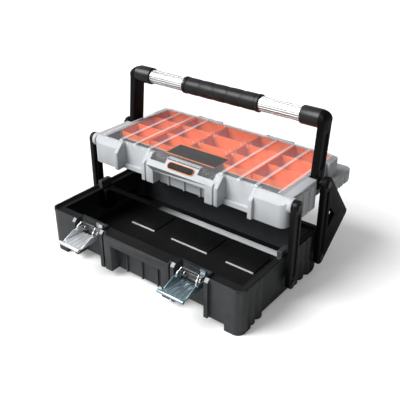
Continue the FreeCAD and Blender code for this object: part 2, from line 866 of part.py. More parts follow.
def latch_lever():
    """Stamped trough: a ribbed plate, two flanges and a curled front edge."""
    half = lever_width / 2
    tip = lever_tip
    low = latch_z - lever_drop
    bail_y = lever_y - bail_forward
    plate_end = lever_y - lug_height / 2 - sheet
    pieces = [block(-half, half, tip, plate_end, low, low + sheet)]
    nose = lever_y + lever_nose
    high = low + lever_flange
    flange = [(plate_end, low), (nose, low + sheet), (nose, high), (bail_y - lever_flange / 2, high)]
    flange += [(tip + lever_flange, low + sheet + sheet), (tip + lever_flange, low)]
    for x0 in (-half, half - sheet):
        pieces.append(sideways(flange, x0, x0 + sheet))
    flare = half + lever_flare
    pieces.append(rod(lever_curl, -flare, flare, tip, low + lever_curl))
    pieces += lever_beads(low + sheet, tip + 2 * lever_curl, plate_end)
    body = joined(pieces)
    end = half + overrun
    cuts = [rod(latch_pin_radius + running_gap, -end, end, lever_y, latch_z)]
    cuts.append(rod(wire_radius + running_gap, -end, end, bail_y, latch_z + bail_rise))
    cuts.append(rod(lever_curl - sheet, -flare - overrun, flare + overrun, tip, low + lever_curl))
    return body.cut(Part.makeCompound(cuts))


def lever_beads(top, y0, y1):
    """Round beads pressed along the lever's plate."""
    beads = []
    pitch = lever_width / (lever_bead_count + 1)
    for i in range(lever_bead_count):
        x = -lever_width / 2 + (i + 1) * pitch
        start = vec(x, y0, top - lever_bead_radius / 2)
        bead = Part.makeCylinder(lever_bead_radius, y1 - y0, start, vec(0, 1, 0))
        x0, x1 = x - lever_bead_radius, x + lever_bead_radius
        room = block(x0, x1, y0, y1, top - sheet, top + lever_bead_radius)
        beads.append(bead.common(room))
    return beads


def wire(points, radius):
    """Round wire bent at each point."""
    pieces = []
    for a, b in zip(points[:-1], points[1:]):
        pieces.append(Part.makeCylinder(radius, (b - a).Length, a, b - a))
    pieces += [Part.makeSphere(radius, p) for p in points[1:-1]]
    return joined(pieces)


def bail_places():
    """The bail's pivot in the lever, and the place of its crossbar."""
    return (lever_y - bail_forward, latch_z + bail_rise), (lever_y - hook_forward, latch_z + hook_rise)


def latch_bail():
    """S-bent wire from the lever's flanges up to the hook."""
    (y0, z0), (y1, z1) = bail_places()
    outer = lever_width / 2 + sheet / 2
    leg = lever_width / 2 - sheet - wire_radius - face_gap
    top = hook_width / 2 + wire_radius
    kink_y, kink_z = (y0 + y1) / 2, (z0 + z1) / 2
    right = [vec(outer, y0, z0), vec(leg, y0, z0), vec(leg, kink_y - wire_radius, kink_z)]
    right += [vec(top, kink_y, kink_z + wire_radius), vec(top, y1, z1)]
    left = [vec(-p.x, p.y, p.z) for p in reversed(right)]
    return wire(right + left, wire_radius)


def latch_hook():
    """Curled hook plate on the bail's crossbar."""
    y1, z1 = bail_places()[1]
    half = hook_width / 2
    curl = rod(hook_curl, -half, half, y1, z1)
    back, top = y1 + hook_curl, z1 + hook_height
    plate = block(-half, half, back - sheet, back, z1, top)
    lip = block(-half, half, back - sheet, back + hook_curl, top - sheet, top)
    return joined([curl, plate, lip]).cut(rod(wire_radius, -half, half, y1, z1))


def tower():
    """Bracket inside the tub's right wall, under the ledge."""
    outer = wall_half - tub_wall
    z1 = ledge_z - ledge_thickness
    y0 = front_pivot_y - tower_depth / 2
    return block(outer - tower_width, outer, y0, y0 + tower_depth, z1 - tower_height, z1)


def cross_strip():
    """Flat strip across the tub, resting on both brackets."""
    reach = wall_half - tub_wall - ledge_width - strip_end_gap
    y0 = front_pivot_y - strip_depth / 2
    z0 = ledge_z - ledge_thickness
    return block(-reach, reach, y0, y0 + strip_depth, z0, z0 + strip_thickness)


def nodes():
    """Every piece of the box by name."""
    found = {"tub": tub(), "low_pins": low_pins(), "cross_strip": cross_strip()}
    found["tower_right"], found["tower_left"] = both_sides(tower())
    found["front_link_right"], found["front_link_left"] = both_sides(front_link())
    found["rear_arm_right"], found["rear_arm_left"] = both_sides(rear_arm())
    found["organiser"] = organiser()
    found["front_top_pins"] = Part.makeCompound(both_sides(front_top_pin()))
    found["handle_pins"] = Part.makeCompound(both_sides(handle_pin()))
    found.update(bins())
    found["lid"] = lid()
    found["lid_pins"] = Part.makeCompound([hinge_pin(-hinge_x), hinge_pin(hinge_x)])
    found["card"] = card()
    found["badge"] = badge()
    found.update(handle())
    latch = {"base": latch_base(), "pin": latch_pin(), "lever": latch_lever()}
    latch["bail"] = latch_bail()
    latch["hook"] = latch_hook()
    for side, x in (("left", -bay_center), ("right", bay_center)):
        for name, shape in latch.items():
            found["latch_%s_%s" % (name, side)] = moved(shape, x)
    return found


os.makedirs("parts", exist_ok=True)
for name, shape in nodes().items():
    shape.translate(vec(0, -centre_y, 0))
    shape.exportStep("parts/%s.step" % name)
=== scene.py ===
# %% [markdown]
# A folding tool box, dressed in Blender. The CAD model comes in first as a fixed frame:
# every node is already in its place, in metres, with +Z up and the front facing -Y.
# Each step below takes one piece or one finish of the real box, says what it is, and
# shows one way to make it.

# %% Load the frame
import json
import math

import bpy
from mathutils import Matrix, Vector


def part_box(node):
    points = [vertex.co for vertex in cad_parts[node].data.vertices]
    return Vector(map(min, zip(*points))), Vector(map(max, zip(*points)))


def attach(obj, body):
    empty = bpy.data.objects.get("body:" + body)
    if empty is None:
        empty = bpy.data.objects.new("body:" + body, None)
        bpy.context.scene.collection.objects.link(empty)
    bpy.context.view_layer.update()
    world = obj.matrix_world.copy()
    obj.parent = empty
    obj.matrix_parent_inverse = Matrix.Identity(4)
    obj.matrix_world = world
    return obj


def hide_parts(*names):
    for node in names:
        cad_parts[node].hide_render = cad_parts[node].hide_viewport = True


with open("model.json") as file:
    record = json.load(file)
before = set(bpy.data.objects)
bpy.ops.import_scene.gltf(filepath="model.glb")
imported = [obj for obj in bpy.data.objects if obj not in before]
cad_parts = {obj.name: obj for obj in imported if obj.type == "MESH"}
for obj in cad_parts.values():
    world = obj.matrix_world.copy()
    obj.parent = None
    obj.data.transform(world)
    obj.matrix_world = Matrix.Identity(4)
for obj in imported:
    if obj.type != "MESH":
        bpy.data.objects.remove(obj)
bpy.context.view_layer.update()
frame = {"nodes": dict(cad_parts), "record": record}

MM = 0.001
nodes = frame["nodes"]
body_of = {}
for body, members in frame["record"]["behaviour"]["bodies"].items():
    for node in members:
        body_of[node] = body
print("nodes in the frame:", len(nodes))


# %% [markdown]
# Finishes come first, because every piece needs one. The plastics share one effect: a
# fine moulded grain, and a slow change of gloss and shade from place to place, as handling
# and dust leave it. Each plastic could have nodes of its own for that, but a node group is
# built once and serves them all, each with its own numbers.

# %% Shared effect: moulded grain
effect_outputs = ("Height", "Roughness", "Mottle")
fine_scale, slow_scale, mottle_scale = 900.0, 9.0, 40.0


def new_group(name, inputs):
    """A node group with the given numbers as inputs, and the outputs that a finish uses."""
    group = bpy.data.node_groups.new(name, "ShaderNodeTree")
    for title, value in inputs:
        socket = group.interface.new_socket(title, in_out="INPUT", socket_type="NodeSocketFloat")
        socket.default_value = value
    for title in effect_outputs:
        group.interface.new_socket(title, in_out="OUTPUT", socket_type="NodeSocketFloat")
    return group, group.nodes.new("NodeGroupInput"), group.nodes.new("NodeGroupOutput")


def noise(tree, place, scale, detail):
    texture = tree.nodes.new("ShaderNodeTexNoise")
    texture.inputs["Scale"].default_value = scale
    texture.inputs["Detail"].default_value = detail
    tree.links.new(place, texture.inputs["Vector"])
    return texture


def remap(tree, value, low, high, from_low=0.3, from_high=0.7):
    """Maps a value, or the middle of a noise, to a range given as numbers or sockets."""
    node = tree.nodes.new("ShaderNodeMapRange")
    node.inputs["From Min"].default_value = from_low
    node.inputs["From Max"].default_value = from_high
    tree.links.new(value, node.inputs["Value"])
    for name, end in (("To Min", low), ("To Max", high)):
        if isinstance(end, (int, float)):
            node.inputs[name].default_value = end
        else:
            tree.links.new(end, node.inputs[name])
    return node.outputs["Result"]


grain, given, made = new_group(
    "moulded_grain", [("Grain Scale", fine_scale), ("Gloss Low", 0.4), ("Gloss High", 0.55)])
spot = grain.nodes.new("ShaderNodeTexCoord").outputs["Object"]
fine = noise(grain, spot, fine_scale, detail=3.0)
grain.links.new(given.outputs["Grain Scale"], fine.inputs["Scale"])
slow = noise(grain, spot, slow_scale, detail=4.0)
mottle = noise(grain, spot, mottle_scale, detail=2.0)
gloss = remap(grain, slow.outputs["Fac"], given.outputs["Gloss Low"], given.outputs["Gloss High"])
grain.links.new(fine.outputs["Fac"], made.inputs["Height"])
grain.links.new(gloss, made.inputs["Roughness"])
grain.links.new(remap(grain, mottle.outputs["Fac"], 0.0, 1.0), made.inputs["Mottle"])
print("shared effect:", grain.name)


# %% [markdown]
# Metal sheet and tube show long fine brush marks. The same noise is stretched three
# hundred times along the box, so it turns into streaks. They change the gloss much more
# than the height, because real brush marks are only microns deep.

# %% Shared effect: brush marks
along_marks, across_marks, cloud_scale = 3.0, 900.0, 60.0
brushed, given, made = new_group("brush_marks", [("Gloss Low", 0.2), ("Gloss High", 0.4)])
spot = brushed.nodes.new("ShaderNodeTexCoord").outputs["Object"]
stretch = brushed.nodes.new("ShaderNodeMapping")
stretch.inputs["Scale"].default_value = (along_marks, across_marks, across_marks)
brushed.links.new(spot, stretch.inputs["Vector"])
marks = noise(brushed, stretch.outputs["Vector"], 1.0, detail=4.0)
cloud = noise(brushed, spot, cloud_scale, detail=3.0)
gloss = remap(brushed, marks.outputs["Fac"], given.outputs["Gloss Low"], given.outputs["Gloss High"])
brushed.links.new(marks.outputs["Fac"], made.inputs["Height"])
brushed.links.new(gloss, made.inputs["Roughness"])
brushed.links.new(remap(brushed, cloud.outputs["Fac"], 0.0, 1.0), made.inputs["Mottle"])
print("shared effect:", brushed.name)


# %% [markdown]
# A finish is one Principled shader. The group's mottle mixes two close shades for the
# base colour, its roughness goes straight in, and its height makes a very small bump. A
# single flat colour would look like paint: the small differences make it look moulded or
# rolled. What is the same all over, such as the shine, is set on the shader itself.

# %% One recipe for the finishes
first_colour, second_colour, mixed_colour = 6, 7, 2
relief_depth = 0.1 * MM


def mix_shades(tree, share, first, second):
    """Mixes two colours, given as numbers or sockets. A Mix node repeats its socket names,
    one set for each kind of data, so the colour sockets go by their numbers."""
    mix = tree.nodes.new("ShaderNodeMix")
    mix.data_type = "RGBA"
    tree.links.new(share, mix.inputs[0])
    for place, colour in ((first_colour, first), (second_colour, second)):
        if isinstance(colour, tuple):
            mix.inputs[place].default_value = (*colour, 1.0)
        else:
            tree.links.new(colour, mix.inputs[place])
    return mix.outputs[mixed_colour]


def start_finish(name, group, gloss):
    """A new material with a shared effect in it, whose roughness lies between two values."""
    material = bpy.data.materials.new(name)
    material.use_nodes = True
    tree = material.node_tree
    shader = tree.nodes["Principled BSDF"]
    effect = tree.nodes.new("ShaderNodeGroup")
    effect.node_tree = group
    effect.inputs["Gloss Low"].default_value, effect.inputs["Gloss High"].default_value = gloss
    tree.links.new(effect.outputs["Roughness"], shader.inputs["Roughness"])
    return material, shader, effect


def finish(name, group, shades, gloss, bump, metallic=0.0, shine=0.5, grain_scale=None):
    material, shader, effect = start_finish(name, group, gloss)
    tree = material.node_tree
    if grain_scale:
        effect.inputs["Grain Scale"].default_value = grain_scale
    tree.links.new(mix_shades(tree, effect.outputs["Mottle"], *shades), shader.inputs["Base Color"])
    relief = tree.nodes.new("ShaderNodeBump")
    relief.inputs["Strength"].default_value = bump
    relief.inputs["Distance"].default_value = relief_depth
    tree.links.new(effect.outputs["Height"], relief.inputs["Height"])
    tree.links.new(relief.outputs["Normal"], shader.inputs["Normal"])
    shader.inputs["Metallic"].default_value = metallic
    shader.inputs["Specular IOR Level"].default_value = shine
    material.diffuse_color = (*shades[0], 1.0)
    return material


print("relief of a finish:", relief_depth, "m")


# %% [markdown]
# The plastics: a charcoal tub, a light grey organiser, strong orange bins, and blacks that
# differ mostly in their shine. Each gets two close shades, the range of its roughness, the
# strength of its relief and its shine.

# %% Plastic finishes
charcoal = finish("charcoal_moulding", grain, [(0.025, 0.0275, 0.0295), (0.034, 0.037, 0.039)],
                  gloss=(0.40, 0.54), bump=0.35, shine=0.45)
link_black = finish("black_link", grain, [(0.005, 0.005, 0.0054), (0.007, 0.007, 0.0075)],
                    gloss=(0.30, 0.42), bump=0.2, shine=0.14)
# Painted shade: a near black for the tub's inside and rim tops, where the organiser shades them.
painted_tub_shade = finish("black_painted_tub_shade", grain, [(0.006, 0.006, 0.0065), (0.009, 0.009, 0.0095)],
                      gloss=(0.42, 0.56), bump=0.3, shine=0.2)
post_black = finish("matt_black_post", grain, [(0.003, 0.003, 0.0034), (0.005, 0.005, 0.0055)],
                    gloss=(0.45, 0.58), bump=0.4, shine=0.07)
elbow_black = finish("gloss_black_elbow", grain, [(0.006, 0.006, 0.0066), (0.010, 0.010, 0.0105)],
                     gloss=(0.30, 0.40), bump=0.15, shine=0.35)
light_grey = finish("light_grey_moulding", grain, [(0.415, 0.432, 0.45), (0.455, 0.472, 0.49)],
                    gloss=(0.42, 0.56), bump=0.25, shine=0.3)
# Painted shade: a darker grey for the organiser's front where the lid shades it.
painted_lid_shade = finish("grey_painted_lid_shade", grain, [(0.07, 0.073, 0.077), (0.10, 0.104, 0.108)],
                     gloss=(0.42, 0.56), bump=0.25, shine=0.3)
# Painted highlight: a pale grey for the pad edges and ear chamfers where they catch the light.
painted_edge_highlight = finish("pale_painted_edge_highlight", grain, [(0.26, 0.265, 0.27), (0.32, 0.325, 0.33)],
                  gloss=(0.35, 0.50), bump=0.1, shine=0.4)
orange = finish("orange_bin", grain, [(0.84, 0.135, 0.024), (0.90, 0.165, 0.034)],
                gloss=(0.30, 0.42), bump=0.15, shine=0.35)
rubber = finish("soft_grip_rubber", grain, [(0.007, 0.007, 0.008), (0.012, 0.012, 0.013)],
                gloss=(0.28, 0.42), bump=0.5, shine=0.28, grain_scale=500.0)
dark_card = finish("bare_card", grain, [(0.012, 0.011, 0.011), (0.017, 0.015, 0.0145)],
                   gloss=(0.50, 0.65), bump=0.1, shine=0.25)
badge_black = finish("bare_badge", grain, [(0.004, 0.004, 0.0045), (0.006, 0.006, 0.0065)],
                     gloss=(0.45, 0.55), bump=0.1, shine=0.15)
badge_orange = finish("badge_edge", grain, [(0.80, 0.19, 0.02), (0.86, 0.22, 0.03)],
                      gloss=(0.35, 0.45), bump=0.1, shine=0.3)
print("materials with the plastics:", len(bpy.data.materials))


# %% [markdown]
# The metals: zinc on the latches, a silver tube and blackened pins. The latches are all one zinc sheet,
# but one lever mirrors a bright side of the room, the other a bluish one, and the hook plates a dark one.
# This scene has no such room to mirror, so each of them gets a tone of its own: the right lever's bluish
# tone and the hook plates' dark tone are painted reflections.

# %% Metal finishes
zinc = finish("zinc_sheet", brushed, [(0.80, 0.83, 0.86), (0.88, 0.91, 0.94)],
              gloss=(0.30, 0.38), bump=0.01, metallic=0.7)
# Painted reflection: a bluish tone on the right lever's zinc.
painted_blue_reflection = finish("zinc_painted_blue_reflection", brushed, [(0.34, 0.46, 0.52), (0.41, 0.53, 0.59)],
                   gloss=(0.32, 0.40), bump=0.01, metallic=1.0)
# Painted reflection: a dark tone on the hook plates' zinc.
painted_dark_reflection = finish("zinc_painted_dark_reflection", brushed, [(0.045, 0.047, 0.05), (0.06, 0.062, 0.065)],
                   gloss=(0.36, 0.48), bump=0.02, metallic=1.0)
base_zinc = finish("base_zinc_sheet", brushed, [(0.50, 0.51, 0.51), (0.58, 0.59, 0.59)],
                   gloss=(0.34, 0.44), bump=0.02, metallic=0.8)
wire_zinc = finish("bright_zinc_wire", brushed, [(0.80, 0.81, 0.82), (0.88, 0.89, 0.90)],
                   gloss=(0.25, 0.38), bump=0.02, metallic=1.0)
silver = finish("silver_tube", brushed, [(0.46, 0.465, 0.47), (0.50, 0.50, 0.505)],
                gloss=(0.28, 0.34), bump=0.01, metallic=1.0)
steel = finish("blackened_steel", brushed, [(0.020, 0.020, 0.021), (0.028, 0.028, 0.029)],
               gloss=(0.30, 0.45), bump=0.05, shine=0.3)
print("materials with the metals:", len(bpy.data.materials))


# %% [markdown]
# The lid is clear plastic with a slight haze. A see-through sheet that also lets lamp
# light down to the bins is easiest with the shader's alpha: low where you look straight
# through, higher at a glancing angle, where a real sheet shines. Layer Weight gives that
# angle. The raised ribs are thicker plastic, so they look whiter: a mask on height does it.

# %% Clear lid finish
clear_tint, clear_gloss = (0.80, 0.82, 0.85), (0.04, 0.12)
glance_blend, glance_share = 0.2, 0.12


def place_along(tree, axis):
    """How far along X, Y or Z a point of the surface lies."""
    split = tree.nodes.new("ShaderNodeSeparateXYZ")
    tree.links.new(tree.nodes.new("ShaderNodeTexCoord").outputs["Object"], split.inputs["Vector"])
    return split.outputs[axis]


def clear_finish(name, rib_from, rib_to, thin, thick):
    """A see-through finish that goes from thin to thick between two heights."""
    material, shader = start_finish(name, grain, clear_gloss)[:2]
    tree = material.node_tree
    shader.inputs["Base Color"].default_value = (*clear_tint, 1.0)
    body = remap(tree, place_along(tree, "Z"), thin, thick, rib_from, rib_to)
    glance = tree.nodes.new("ShaderNodeLayerWeight")
    glance.inputs["Blend"].default_value = glance_blend
    edge = tree.nodes.new("ShaderNodeMath")
    edge.operation = "MULTIPLY"
    edge.inputs[1].default_value = glance_share
    tree.links.new(glance.outputs["Facing"], edge.inputs[0])
    total = tree.nodes.new("ShaderNodeMath")
    total.operation = "ADD"
    total.use_clamp = True
    tree.links.new(body, total.inputs[0])
    tree.links.new(edge.outputs["Value"], total.inputs[1])
    tree.links.new(total.outputs["Value"], shader.inputs["Alpha"])
    return material


lid_low, lid_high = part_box("lid")
rib_height = 3.0 * MM
sheet_top = lid_high.z - rib_height
clear = clear_finish("clear_lid", rib_from=sheet_top + 0.1 * MM, rib_to=sheet_top + 0.9 * MM,
                     thin=0.035, thick=0.40)
print("lid from", [round(v, 4) for v in lid_low], "to", [round(v, 4) for v in lid_high])


# %% [markdown]
# Operators act on whatever is selected, and the frame arrives selected. So every step
# clears the selection and picks one piece, as you would click on it by hand.

# %% Helpers that pick a piece
def deselect():
    if bpy.context.object and bpy.context.object.mode != "OBJECT":
        bpy.ops.object.mode_set(mode="OBJECT")
    bpy.ops.object.select_all(action="DESELECT")


def pick(piece):
    deselect()
    piece.select_set(True)
    bpy.context.view_layer.objects.active = piece


def edit_all(piece):
    pick(piece)
    bpy.ops.object.mode_set(mode="EDIT")
    bpy.ops.mesh.select_mode(type="VERT")
    bpy.ops.mesh.select_all(action="SELECT")


def leave_edit():
    bpy.ops.object.mode_set(mode="OBJECT")


print("selected on arrival:", len(bpy.context.selected_objects))


# %% [markdown]
# Most pieces of the box are mouldings whose CAD shape is right, but whose edges are
# knife sharp. A real moulding has a small radius on every edge, and that is what catches
# the light. So each one is copied, its loose triangles are merged, and a narrow bevel goes
# round the sharp edges. On simple pieces the flat areas are cleaned up first. A flat area
# with a hole in it can't be a single face, so pieces with holes only get pairs of
# triangles joined, and the two big shells keep their triangles as they are.

# %% Helpers that round a copy and hand over a node
sharp_edge = 32
flat_angle = math.radians(0.5)
merge_distance = 0.01 * MM
shells = ("tub", "organiser")
holed = ("front_link", "rear_arm", "handle_post", "bin", "lid")


def soften(piece, width, segments=2, sharp=sharp_edge):
    """Rounds the sharp edges of a piece a little, as a moulding's edges are."""
    pick(piece)
    bevel = piece.modifiers.new("rounded edges", "BEVEL")
    bevel.width = width
    bevel.segments = segments
    bevel.limit_method = "ANGLE"
    bevel.angle_limit = math.radians(sharp)
    bevel.use_clamp_overlap = False
    bpy.ops.object.modifier_apply(modifier=bevel.name)
    bpy.ops.object.shade_smooth_by_angle(angle=math.radians(sharp))


def dress(piece, node, finish_used):
    """The piece gets its finish, and takes its body from a node."""
    piece.data.materials.clear()
    piece.data.materials.append(finish_used)
    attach(piece, body_of[node])


def stand_for(piece, node, finish_used):
    dress(piece, node, finish_used)
    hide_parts(node)
    return piece


def rounded_copy(node, finish_used, width):
    piece = bpy.data.objects.new(node + "_rounded", nodes[node].data.copy())
    bpy.context.scene.collection.objects.link(piece)
    edit_all(piece)
    bpy.ops.mesh.remove_doubles(threshold=merge_distance)
    if node.startswith(holed) and node != "lid_pins":
        bpy.ops.mesh.tris_convert_to_quads(face_threshold=flat_angle, shape_threshold=math.pi)
    elif node not in shells:
        bpy.ops.mesh.dissolve_limited(angle_limit=flat_angle)
    leave_edit()
    soften(piece, width)
    return stand_for(piece, node, finish_used)


print("edges over", sharp_edge, "degrees are rounded")


# %% [markdown]
# The radius of each kind of piece is a maker's choice: large on the thick posts and links,
# small on thin sheet. The tables give radii in millimetres and finishes by the start of a
# node's name, and the longest start that fits counts.

# %% Rounded copies of the moulded and stamped pieces
edge_radius = {
    "tub": 0.9, "organiser": 0.9, "front_link": 1.2, "rear_arm": 1.2, "tower": 0.8, "cross_strip": 0.5,
    "bin": 0.5, "handle_post": 1.6, "low_pins": 0.9, "front_top_pins": 0.9, "handle_pins": 0.6,
    "lid_pins": 0.3, "latch_base": 0.35, "latch_pin": 0.5, "latch_lever": 0.4, "latch_hook": 0.35,
    "lid": 0.7,
}
finish_of = {
    "tub": charcoal, "organiser": light_grey, "front_link": link_black, "rear_arm": post_black,
    "tower": post_black, "cross_strip": light_grey, "bin": orange, "handle_post": post_black,
    "low_pins": steel, "front_top_pins": steel, "handle_pins": steel, "lid_pins": steel,
    "latch_base": base_zinc, "latch_pin": steel, "latch_lever_left": zinc,
    "latch_lever_right": painted_blue_reflection, "latch_hook": painted_dark_reflection, "lid": clear,
}
rounded = {}
for node in sorted(nodes):
    kinds = [kind for kind in edge_radius if node == kind or node.startswith(kind + "_")]
    if kinds:
        kind = max(kinds, key=len)
        finish_used = finish_of[node if node in finish_of else kind]
        rounded[node] = rounded_copy(node, finish_used, edge_radius[kind] * MM)
print("rounded copies:", len(rounded))


# %% [markdown]
# Some mouldings look different from place to place. The tub's inside and the tops of its rim get a painted
# shade, nearly black, where the organiser keeps the light away, and the front edges of the floor pads get
# a painted highlight, pale, where they catch the light. A mask in the material could do it. Here the
# borders follow edges of the shape, so a second material on chosen faces is simpler and sharper.

# %% Painted shade inside the tub and painted highlights on its pad edges
front_and_up = Vector((0, -1, 1)).normalized()
room_half, room_front, room_rear, floor_under = 259.6 * MM, -166.0 * MM, 106.0 * MM, 18.0 * MM
ledge_under, rim_over, rim_upward = 104.0 * MM, 114.0 * MM, 0.6
pad_slope = 0.97


def paint(piece, finish_used, test):
    """Gives the faces that pass a test of centre and normal another material."""
    piece.data.materials.append(finish_used)
    place = len(piece.data.materials) - 1
    chosen = [face for face in piece.data.polygons if test(face.center, face.normal)]
    for face in chosen:
        face.material_index = place
    print(piece.name, finish_used.name, len(chosen), "faces")


def inside_tub(centre):
    return abs(centre.x) < room_half and room_front < centre.y < room_rear and centre.z > floor_under


def in_shade(centre, normal):
    on_rim = normal.z > rim_upward and ledge_under < centre.z < rim_over
    return inside_tub(centre) or on_rim


def pad_front_highlight(centre, normal):
    return inside_tub(centre) and normal.dot(front_and_up) > pad_slope


# Painted shade on the tub's inside and rim tops.
paint(rounded["tub"], painted_tub_shade, in_shade)
# Painted highlight on the front edges of the floor pads.
paint(rounded["tub"], painted_edge_highlight, pad_front_highlight)


# %% [markdown]
# The open room at the organiser's front lies in the shade of the lid, and so does the top of the sloping
# tongue that carries the badge. Both get a painted shade: a darker grey. The tongue has no edge where its
# shade ends, so a cut across the slope adds one just above the badge. Bisect only divides the faces, and
# the shape stays as it is.

# %% Painted shade on the organiser's front
shell_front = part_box("organiser")[0].y
slope_rear, bay_rear = shell_front + 22.0 * MM, shell_front + 40.0 * MM
bay_inner, bay_outer = 92.0 * MM, 203.0 * MM
bin_low, bin_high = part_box("bin_1_1")
deck, tray_front = bin_high.z + 1.5 * MM, bin_low.y - 3.0 * MM
pocket_half, pocket_floor, below_slope = 247.2 * MM, deck - 26.5 * MM, 1.2 * MM
tongue_half, tongue_slope = 60.0 * MM, 0.99
badge_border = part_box("badge")[1] + Vector((0, 1, 1)) * 1.2 * MM
up_slope = Vector((0, 1, 1)).normalized()


def edit_faces(piece, test):
    """Goes to edit mode with only the faces selected that pass a test of centre and normal."""
    pick(piece)
    bpy.ops.object.mode_set(mode="EDIT")
    bpy.ops.mesh.select_mode(type="FACE")
    bpy.ops.mesh.select_all(action="DESELECT")
    bpy.ops.object.mode_set(mode="OBJECT")
    for face in piece.data.polygons:
        face.select = test(face.center, face.normal)
    bpy.ops.object.mode_set(mode="EDIT")


def in_pocket(centre):
    beside_bay = centre.y < bay_rear and bay_inner < abs(centre.x) < bay_outer
    slope = deck - max(0.0, slope_rear - centre.y) - below_slope
    within = abs(centre.x) < pocket_half and centre.y < tray_front and pocket_floor < centre.z < slope
    return within and not beside_bay


def on_tongue(centre, normal):
    return (abs(centre.x) < tongue_half and centre.y < bay_rear
            and normal.dot(front_and_up) > tongue_slope)


def under_lid_shade(centre, normal):
    above_badge = on_tongue(centre, normal) and (centre - badge_border).dot(up_slope) > 0
    return in_pocket(centre) or above_badge


edit_faces(rounded["organiser"], on_tongue)
bpy.ops.mesh.bisect(plane_co=badge_border, plane_no=up_slope)
leave_edit()
# Painted shade on the room and tongue under the lid's front.
paint(rounded["organiser"], painted_lid_shade, under_lid_shade)


# %% [markdown]
# Each handle post ends in a socket that takes the tube. The socket is glossier than the
# post, and a cut where it ends gives the second material a straight border.

# %% Glossy sockets on the handle posts
socket_end = 257.5 * MM
for side, end in (("left", -socket_end), ("right", socket_end)):
    post = rounded["handle_post_" + side]
    edit_all(post)
    bpy.ops.mesh.bisect(plane_co=(end, 0, 0), plane_no=(1, 0, 0))
    leave_edit()
    paint(post, elbow_black, lambda centre, normal: abs(centre.x) < socket_end)


# %% [markdown]
# Beside each latch stands a pair of ears, chamfered at the top front, and the chamfers get a painted
# highlight, pale, where they catch the light. The ears are hollow, so each chamfer gets a thin cover in
# that pale finish: a plate of the chamfer's size, turned to its slope, laid flush in the opening and
# rounded at its edges.

# %% Covers with a painted highlight on the ear chamfers
cover_size = (9.6 * MM, 10.6 * MM, 1.2 * MM)
cover_sink, cover_radius = 0.45 * MM, 0.4 * MM
ear_places = (-193.5 * MM, -105.5 * MM, 105.5 * MM, 193.5 * MM)
rim_over_tower, chamfer_half = 9.0 * MM, 4.0 * MM
rim_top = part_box("tower_left")[1].z + rim_over_tower
chamfer_middle = Vector((0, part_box("tub")[0].y + chamfer_half, rim_top - chamfer_half))


def settle(piece):
    """Puts a piece's place into its mesh, so that the object itself sits at the origin."""
    pick(piece)
    bpy.ops.object.transform_apply(location=True, rotation=True, scale=True)


def join(pieces, name):
    deselect()
    for piece in pieces:
        piece.select_set(True)
    bpy.context.view_layer.objects.active = pieces[0]
    bpy.ops.object.join()
    bpy.context.object.name = name
    return bpy.context.object


deselect()
covers = []
for x in ear_places:
    place = chamfer_middle + Vector((x, 0, 0)) - front_and_up * cover_sink
    bpy.ops.mesh.primitive_cube_add(size=1.0, location=place, rotation=(math.pi / 4, 0, 0),
                                    scale=cover_size)
    cover = bpy.context.object
    settle(cover)
    soften(cover, cover_radius)
    covers.append(cover)
# The covers carry the painted highlight of the ear chamfers.
dress(join(covers, "ear_chamfer_highlights"), "tub", painted_edge_highlight)
print("covers on the ears:", len(covers), "at height", round(chamfer_middle.z, 4))


# %% [markdown]
# The strip across the tub lies in the organiser's shade at its left end and comes out of it towards the
# right. That shade is painted: a mask along X fades its colour from nearly black to light grey.

# %% Strip with painted shade along its length
def paint_shade_along_x(material, dark, start, end):
    tree = material.node_tree
    shader = tree.nodes["Principled BSDF"]
    colour = shader.inputs["Base Color"].links[0].from_socket
    share = remap(tree, place_along(tree, "X"), 0.0, 1.0, start, end)
    tree.links.new(mix_shades(tree, share, dark, colour), shader.inputs["Base Color"])


strip_painted_shade = finish("strip_with_painted_shade", grain, [(0.36, 0.37, 0.38), (0.42, 0.43, 0.44)],
                    gloss=(0.85, 0.95), bump=0.2, shine=0.05)
# Painted shade: the colour fades to nearly black towards the strip's left end.
paint_shade_along_x(strip_painted_shade, dark=(0.002, 0.002, 0.0022), start=-80.0 * MM, end=30.0 * MM)
rounded["cross_strip"].data.materials[0] = strip_painted_shade
print("strip fades along", round(rounded["cross_strip"].dimensions.x, 3), "m")


# %% [markdown]
# Under the lid hang small clear pegs that keep the bins down, four round each crossing of
# the bin walls in the middle. One peg is a short cylinder, drawn in at its tip and rounded.
# The others are copies of it, joined into one piece with a clear finish.

# %% Clear pegs under the lid
peg_radius, peg_length, peg_offset, peg_sides = 1.7 * MM, 4.5 * MM, 8.5 * MM, 20
tip_inset, tip_length, tip_radius = 0.5 * MM, 0.6 * MM, 0.3 * MM
downward, peg_haze = -0.9, 0.30
peg_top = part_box("card")[1].z
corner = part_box("bin_3_2")
crossings = [(x, y) for x in (corner[0].x, corner[1].x) for y in (corner[0].y, corner[1].y)]
deselect()
bpy.ops.mesh.primitive_cylinder_add(vertices=peg_sides, radius=peg_radius, depth=peg_length,
                                    location=(0, 0, peg_top - peg_length / 2))
peg = bpy.context.object
settle(peg)
edit_faces(peg, lambda centre, normal: normal.z < downward)
bpy.ops.mesh.inset(thickness=tip_inset, depth=tip_length)
leave_edit()
soften(peg, tip_radius)
copies = []
for x, y in crossings:
    for sx in (-1, 1):
        for sy in (-1, 1):
            twin = peg.copy()
            twin.data = peg.data.copy()
            twin.location = (x + sx * peg_offset, y + sy * peg_offset, 0)
            bpy.context.scene.collection.objects.link(twin)
            copies.append(twin)
bpy.data.objects.remove(peg)
pegs = join(copies, "lid_pegs")
settle(pegs)
dress(pegs, "lid", clear_finish("clear_pegs", peg_top, peg_top + MM, peg_haze, peg_haze))
print("pegs under the lid:", len(copies))


# %% [markdown]
# The handle's tube is a silver profile with shallow flutes along it. A cylinder with an
# even number of sides gives alternate strips: every other one is inset and pushed in, so
# the flutes are real grooves. Its ends are inside the black sockets.

